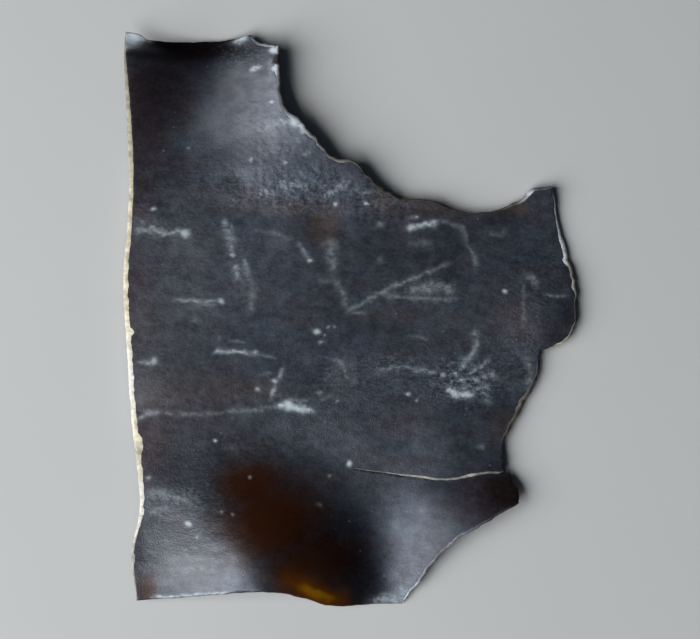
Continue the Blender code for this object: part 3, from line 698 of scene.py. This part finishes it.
# The texture map's parts: the corner and the size of each face's, and of the unrolled rim's.
TOP_CORNER, UNDER_CORNER, FACE_SHARE = (0.005, 0.07), (0.51, 0.07), (0.485, 0.92)
RIM_CORNER, RIM_SHARE = 0.005, (0.99, 0.05)


def atlas(points, corner, size, low, high):
    """Flat points laid out in their part of the texture map, which runs from corner and has that size."""
    return np.array(corner) + np.array(size) * (points - low) / (high - low)


def kelp_mesh():
    """The whole sheet, as one closed mesh in millimetres with its vertex values and texture map."""
    edge = whole_edge()
    count = len(edge["lower"])
    coarse, fine = spread(TOP_STEP), spread(MARK_STEP)
    marked = [bloom_and_highlights_over(*grid.T)[0] > MARKED for grid in (coarse, fine)]
    grid = np.vstack((coarse[~marked[0]], fine[marked[1]]))
    top_flat, top_faces = filled(edge["upper"], grid, TOP_STEP)
    under_flat, under_faces = filled(edge["lower"], spread(UNDER_STEP), UNDER_STEP)
    top, under = upper_side(top_flat), under_side(under_flat)
    rows = rim_rows(under[:count], top[:count], edge)

    places = np.vstack((top, under, *rows))
    top_ids, under_ids = np.arange(count), len(top) + np.arange(count)
    row_ids = [under_ids, *(len(top) + len(under) + count * k + top_ids for k in range(len(rows))), top_ids]
    rim_faces = np.vstack([np.column_stack((a, np.roll(a, -1), np.roll(b, -1), b))
                           for a, b in zip(row_ids, row_ids[1:])])
    faces = (*top_faces.tolist(), *(under_faces[:, ::-1] + len(top)).tolist(), *rim_faces.tolist())
    mesh = bpy.data.meshes.new(NODE + "_visual")
    mesh.from_pydata(places.tolist(), [], faces)

    # Vertex values. The rim's own rows take the values of the edge that they lie on.
    repeat = len(rows)
    flat = np.vstack((top_flat, under_flat, *[edge["lower"]] * repeat))
    on_top = np.arange(len(places)) < len(top)
    crisp, dust = bloom_and_highlights_over(*flat.T)
    pale, cool = np.zeros(len(places)), np.zeros(len(places))
    for ids in row_ids:
        pale[ids] = edge["pale"]
        cool[ids] = edge["cool"]
    values = {
        "bloom_and_highlights": crisp * on_top,
        "dust": dust * on_top,
        "stain": within(STAINS, *flat.T),
        "brown_and_light_through": within(BROWN_AND_LIGHT_THROUGH_PATCHES, *flat.T),
        "glow": glow_over(*flat.T),
        "warm": within(WARM, *flat.T),
        "painted_shade": within(PAINTED_SHADE_PATCHES, *flat.T),
        "grey": within(GREY, *flat.T),
        "grain": 1 - 0.9 * within(SMOOTH, *flat.T) + within(GRAINY, *flat.T),
        "thin": (BAND_THICKNESS - thickness(*flat.T)) / (BAND_THICKNESS - BRIM_THICKNESS),
        "pale": pale,
        "cool": cool,
    }
    for name, value in values.items():
        mesh.attributes.new(name, "FLOAT", "POINT").data.foreach_set("value", value.astype(np.float32))

    # The skin is the first material and the bare flesh of the cut and torn faces the second.
    bare = (edge["pale"] > 0) & (np.roll(edge["pale"], -1) > 0)
    slots = np.zeros(len(faces), np.int32)
    slots[len(top_faces) + len(under_faces):] = np.tile(bare, repeat + 1)
    mesh.polygons.foreach_set("material_index", slots)

    # The texture map holds the upper side, the underside beside it, and the rim unrolled below them.
    low, high = flat.min(axis=0), flat.max(axis=0)
    spot = np.vstack((atlas(top_flat, TOP_CORNER, FACE_SHARE, low, high),
                      atlas(under_flat, UNDER_CORNER, FACE_SHARE, low, high)))
    corners = [spot[top_faces.ravel()], spot[(under_faces[:, ::-1] + len(top)).ravel()]]
    along = along_of(np.vstack((edge["lower"], edge["lower"][:1])))
    along = RIM_CORNER + RIM_SHARE[0] * along / along[-1]
    for row in range(repeat + 1):
        across = RIM_CORNER + RIM_SHARE[1] * np.array((row, row, row + 1, row + 1)) / (repeat + 1)
        lengthwise = np.column_stack((along[:-1], along[1:], along[1:], along[:-1]))
        across = np.broadcast_to(across, lengthwise.shape)
        corners.append(np.stack((lengthwise, across), axis=2).reshape(-1, 2))
    layer = mesh.uv_layers.new(name="OFBake")
    layer.uv.foreach_set("vector", np.vstack(corners).astype(np.float32).ravel())
    return mesh


def place_in_frame(mesh):
    """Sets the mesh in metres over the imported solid: middle over middle, standing on the same plane."""
    low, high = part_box(NODE)
    found = np.array([v.co for v in mesh.vertices])
    middle = (found.min(axis=0) + found.max(axis=0)) / 2
    shift = np.array(((low.x + high.x) / 2, (low.y + high.y) / 2, low.z))
    placed = (found - (middle[0], middle[1], found[:, 2].min())) * MM + shift
    mesh.vertices.foreach_set("co", placed.astype(np.float32).ravel())
    mesh.shade_smooth()
    mesh.set_sharp_from_angle(angle=math.radians(SHARP_ANGLE))
    mesh.update()


# ---- materials

class Look:
    """A new node material. Its methods add nodes and give back their outputs."""

    def __init__(self, name):
        self.material = bpy.data.materials.new(name)
        self.material.use_nodes = True
        self.tree = self.material.node_tree
        self.shader = self.tree.nodes["Principled BSDF"]

    def put(self, socket, value):
        """Links the socket to the value where that is an output, and otherwise sets it."""
        if isinstance(value, bpy.types.NodeSocket):
            self.tree.links.new(value, socket)
        else:
            socket.default_value = value

    def node(self, kind, inputs, **settings):
        """A new node with its settings and its inputs."""
        made = self.tree.nodes.new("ShaderNode" + kind)
        for name, value in settings.items():
            setattr(made, name, value)
        for name, value in inputs.items():
            self.put(made.inputs[name], value)
        return made

    def shade(self, **inputs):
        """Links the shader's own sockets, named with underscores for spaces."""
        for name, value in inputs.items():
            self.put(self.shader.inputs[name.replace("_", " ")], value)

    def value(self, name):
        """The mesh's own vertex value of that name."""
        return self.node("Attribute", {}, attribute_name=name).outputs["Fac"]

    def millimetres(self, stretch, offset=(0, 0, 0)):
        """The object's own coordinates in millimetres, drawn out by the stretch."""
        place = self.node("TexCoord", {}).outputs["Object"]
        scale = [1 / (MM * s) for s in stretch]
        return self.node("Mapping", {"Vector": place, "Scale": scale, "Location": offset}).outputs["Vector"]

    def noise(self, stretch, detail, roughness, offset=(0, 0, 0)):
        """Noise from 0 to 1, drawn out by the stretch."""
        vector = self.millimetres(stretch, offset)
        inputs = {"Vector": vector, "Scale": 1.0, "Detail": detail, "Roughness": roughness}
        return self.node("TexNoise", inputs).outputs["Fac"]

    def maths(self, operation, *values, clamp=False):
        """A sum worked out from the values."""
        made = self.node("Math", {}, operation=operation, use_clamp=clamp)
        for socket, value in zip(made.inputs, values):
            self.put(socket, value)
        return made.outputs["Value"]

    def times(self, a, b, clamp=False):
        return self.maths("MULTIPLY", a, b, clamp=clamp)

    def times_plus(self, a, b, c, clamp=False):
        return self.maths("MULTIPLY_ADD", a, b, c, clamp=clamp)

    def ramp(self, value, low, high, to_low=0.0, to_high=1.0):
        """The value, spread smoothly from one range to another."""
        inputs = {"Value": value, "From Min": low, "From Max": high, "To Min": to_low, "To Max": to_high}
        return self.node("MapRange", inputs, interpolation_type="SMOOTHSTEP").outputs["Result"]

    def blend(self, share, *colours):
        """A colour between two others."""
        made = self.node("Mix", {0: share}, data_type="RGBA")
        for number, colour in zip((6, 7), colours):
            self.put(made.inputs[number], (*colour, 1.0) if isinstance(colour, tuple) else colour)
        return made.outputs[2]

    def bump(self, height):
        bump = self.node("Bump", {"Height": height, "Distance": MM})
        self.shade(Normal=bump.outputs["Normal"])


def skin_material():
    """The blade's skin: almost black, browner where it is thin or stained and where light coming through it
    is painted, darker where shade is painted, with pale dusty bloom and a few painted highlights.
    """
    look = Look("kelp_skin_look")
    fibre = look.noise((2.4, 0.8, 2.0), 3.0, 0.6)
    weave = look.noise((0.95, 0.62, 0.9), 3.0, 0.6)
    grain = look.noise((0.42, 0.36, 0.4), 2.0, 0.6)
    cloud = look.noise((12.0, 7.0, 9.0), 3.0, 0.55, (3.1, 0.4, 0.0))
    blot = look.noise((3.4, 2.3, 3.0), 3.0, 0.6, (1.3, 2.2, 0.0))
    streak = look.noise((16.0, 4.0, 9.0), 3.0, 0.55, (0.7, 5.2, 0.0))
    names = ("thin", "stain", "brown_and_light_through", "bloom_and_highlights", "dust", "glow", "warm", "grey", "painted_shade", "grain")
    thin, stain, brown_and_light_through, bloom_and_highlights, dust, glow, warm, grey, painted_shade, rough_grain = (look.value(n) for n in names)

    colour = look.blend(look.ramp(cloud, 0.36, 0.64), (0.005, 0.0045, 0.0058), (0.004, 0.0047, 0.0066))
    colour = look.blend(look.ramp(streak, 0.5, 0.72, 0.0, 0.8), colour, (0.011, 0.0064, 0.0056))
    colour = look.blend(warm, colour, (0.009, 0.005, 0.0068))
    # Painted shade: darker where the skin turns away from the lamp.
    colour = look.blend(painted_shade, colour, (0.0036, 0.002, 0.0026))
    # Painted light: the brown of light coming through the thin slope turned away from the lamp.
    colour = look.blend(brown_and_light_through, colour, (0.025, 0.007, 0.0018))
    colour = look.blend(look.times(stain, 0.8), colour, (0.023, 0.015, 0.007))
    # Painted light: the amber of light coming through the thin lower margin is painted into the colour as
    # well as sent through the translucent shader at the end.
    colour = look.blend(look.ramp(glow, 0.0, 0.5), colour, (0.06, 0.017, 0.001))
    colour = look.blend(look.ramp(glow, 0.4, 1.05), colour, (0.23, 0.115, 0.0015))

    # Bloom: a faint blotchy film, dust in the crinkles, scuffs and flecks, some of which are painted
    # highlights.
    film = look.times_plus(weave, 0.3, look.times(cloud, 0.3))
    film = look.ramp(look.times_plus(blot, 0.4, film), 0.38, 0.64, 0.0, 0.02)
    film = look.times(film, look.ramp(look.maths("MAXIMUM", thin, brown_and_light_through), 0.1, 1.0, 1.0, 0.1))
    hatch = look.times_plus(weave, 0.5, look.times(grain, 0.5))
    dusted = look.times(look.ramp(hatch, 0.46, 0.64, 0.0, 0.16), dust)
    specks = look.node("TexVoronoi", {"Vector": look.millimetres((2.6, 2.0, 2.0)), "Scale": 1.0})
    size = look.node("SeparateColor", {"Color": specks.outputs["Color"]}).outputs["Red"]
    size = look.ramp(size, 0.45, 1.0, 0.0, 0.16)
    speck = look.ramp(look.maths("SUBTRACT", size, specks.outputs["Distance"]), 0.0, 0.06, 0.0, 0.065)
    speck = look.times(speck, look.ramp(dust, 0.1, 0.6, 1.0, 3.0))
    speck = look.times(speck, look.ramp(brown_and_light_through, 0.0, 0.5, 1.0, 0.1))
    veil = look.maths("MAXIMUM", look.maths("ADD", dusted, film), speck)
    colour = look.blend(veil, colour, (0.44, 0.56, 0.76))
    # Painted highlight: the scuffs and flecks at the curled tip and along the lit edges stand for the lamp
    # caught there.
    covered = look.ramp(look.times_plus(bloom_and_highlights, 0.3, hatch), 0.46, 0.68, 0.34, 0.6)
    scuffs_and_highlights = look.times(bloom_and_highlights, covered, clamp=True)
    colour = look.blend(scuffs_and_highlights, colour, (0.61, 0.68, 0.72))
    pale = look.maths("ADD", veil, scuffs_and_highlights, clamp=True)
    look.shade(Base_Color=colour)

    rough = look.ramp(weave, 0.3, 0.7, 0.395, 0.465)
    rough = look.times_plus(pale, 0.5, rough, clamp=True)
    look.shade(Roughness=rough)
    # Reflections are weaker where light coming through the skin is painted, and where shade is painted.
    sheen = look.times(look.ramp(brown_and_light_through, 0.0, 1.0, 0.72, 0.2), look.ramp(painted_shade, 0.0, 1.0, 1.0, 0.0))
    sheen = look.times(sheen, look.ramp(blot, 0.35, 0.65, 0.86, 1.14))
    sheen = look.times(sheen, look.ramp(glow, 0.0, 0.6, 1.0, 0.3))
    look.shade(Specular_IOR_Level=sheen)
    tint = look.blend(look.ramp(cloud, 0.4, 0.62), (0.78, 0.83, 1.0), (0.72, 0.83, 1.0))
    tint = look.blend(grey, tint, (0.88, 0.9, 0.98))
    tint = look.blend(look.maths("MAXIMUM", warm, stain), tint, (0.96, 0.82, 0.9))
    # Painted light: reflections turn brown where light coming through the skin is painted.
    look.shade(Specular_Tint=look.blend(brown_and_light_through, tint, (1.0, 0.6, 0.4)))

    height = look.times_plus(fibre, 0.02, look.times(weave, 0.032))
    height = look.times_plus(grain, 0.028, height)
    height = look.times(height, rough_grain)
    height = look.times_plus(pale, 0.05, height)
    look.bump(height)

    # Where the lower margin is thinnest, light comes through and turns amber on its way.
    through = look.node("BsdfTranslucent", {"Color": (0.85, 0.45, 0.03, 1.0)})
    share = look.times(glow, 0.35)
    parts = {0: share, 1: look.shader.outputs["BSDF"], 2: through.outputs["BSDF"]}
    mixed = look.node("MixShader", parts)
    look.put(look.tree.nodes["Material Output"].inputs["Surface"], mixed.outputs["Shader"])
    return look.material


def flesh_material():
    """The bare flesh of the cut and torn faces: cream where cut, and greyer and darker where torn. How pale
    each stretch is holds painted light and shade too.
    """
    look = Look("kelp_flesh_look")
    strand = look.noise((1.6, 0.5, 0.3), 4.0, 0.6)
    mottle = look.noise((1.6, 1.6, 1.6), 3.0, 0.5)
    pale, cool = look.value("pale"), look.value("cool")
    cream = look.blend(look.ramp(strand, 0.35, 0.65), (0.54, 0.47, 0.33), (0.66, 0.6, 0.46))
    grey = look.blend(look.ramp(strand, 0.35, 0.65), (0.47, 0.49, 0.55), (0.6, 0.62, 0.68))
    share = look.times(pale, look.ramp(mottle, 0.3, 0.7, 0.7, 1.3), clamp=True)
    colour = look.blend(share, (0.014, 0.01, 0.009), look.blend(cool, cream, grey))
    look.shade(Base_Color=colour)
    look.shade(Roughness=look.ramp(strand, 0.3, 0.7, 0.55, 0.8), Specular_IOR_Level=0.3)
    look.bump(look.times(strand, 0.12))
    return look.material


def floor_material():
    """A plain pale floor, very slightly mottled."""
    look = Look("pale_floor")
    mottle = look.noise((60.0, 60.0, 60.0), 2.0, 0.5)
    look.shade(Base_Color=look.blend(mottle, (0.41, 0.41, 0.405), (0.43, 0.43, 0.425)), Roughness=0.9)
    return look.material


# ---- stage, light and camera

FLOOR_SIZE = 6.0
LENS = 135.0
SENSOR = 36.0
FRAME_SHAPE = 700 / 639
FILLED = 0.90  # how much of the picture's height the sheet takes
# The soft square lights: name, place from the middle of the sheet, side, watts, colour.
LIGHTS = (
    ("window", (-0.77, -0.34, 0.68), 1.1, 27.6, (0.955, 0.98, 1.0)),
    ("fill", (0.05, 0.1, 1.2), 0.9, 0.5, (0.55, 0.75, 1.0)),
)
AMBIENT = {"colour": (0.9, 0.93, 1.0, 1.0), "strength": 0.01}


def floor(level):
    mesh = bpy.data.meshes.new("floor")
    half = FLOOR_SIZE / 2
    mesh.from_pydata([(-half, -half, level), (half, -half, level), (half, half, level), (-half, half, level)],
                     [], [(0, 1, 2, 3)])
    mesh.materials.append(floor_material())
    made = bpy.data.objects.new("floor", mesh)
    bpy.context.scene.collection.objects.link(made)


def soft_light(name, place, aim, size, watts, colour):
    """A square soft light at a place, turned towards its aim."""
    light = bpy.data.lights.new(name, "AREA")
    light.size = size
    light.energy = watts
    light.color = colour
    made = bpy.data.objects.new(name, light)
    made.location = place
    made.rotation_euler = (aim - place).to_track_quat("-Z", "Y").to_euler()
    bpy.context.scene.collection.objects.link(made)


def look_down(low, high):
    """The camera, straight above the middle of the sheet."""
    camera = bpy.data.cameras.new("camera")
    camera.lens = LENS
    camera.sensor_width = SENSOR
    made = bpy.data.objects.new("camera", camera)
    shown = (high.y - low.y) / FILLED
    middle = (low + high) / 2
    made.location = middle + Vector((0.0, 0.0, shown * FRAME_SHAPE * LENS / SENSOR))
    bpy.context.scene.collection.objects.link(made)
    bpy.context.scene.camera = made


def studio(low, high):
    floor(low.z)
    middle = (low + high) / 2
    for name, offset, size, watts, colour in LIGHTS:
        soft_light(name, middle + Vector(offset), middle, size, watts, colour)
    world = bpy.data.worlds.new("studio")
    world.use_nodes = True
    background = world.node_tree.nodes["Background"]
    background.inputs["Color"].default_value = AMBIENT["colour"]
    background.inputs["Strength"].default_value = AMBIENT["strength"]
    bpy.context.scene.world = world
    bpy.context.scene.view_settings.view_transform = "Standard"
    look_down(low, high)


def main():
    low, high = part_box(NODE)
    studio(low, high)
    mesh = kelp_mesh()
    place_in_frame(mesh)
    mesh.materials.append(skin_material())
    mesh.materials.append(flesh_material())
    sheet = bpy.data.objects.new(NODE + "_visual", mesh)
    bpy.context.scene.collection.objects.link(sheet)
    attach(sheet, "root")
    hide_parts(NODE)


main()
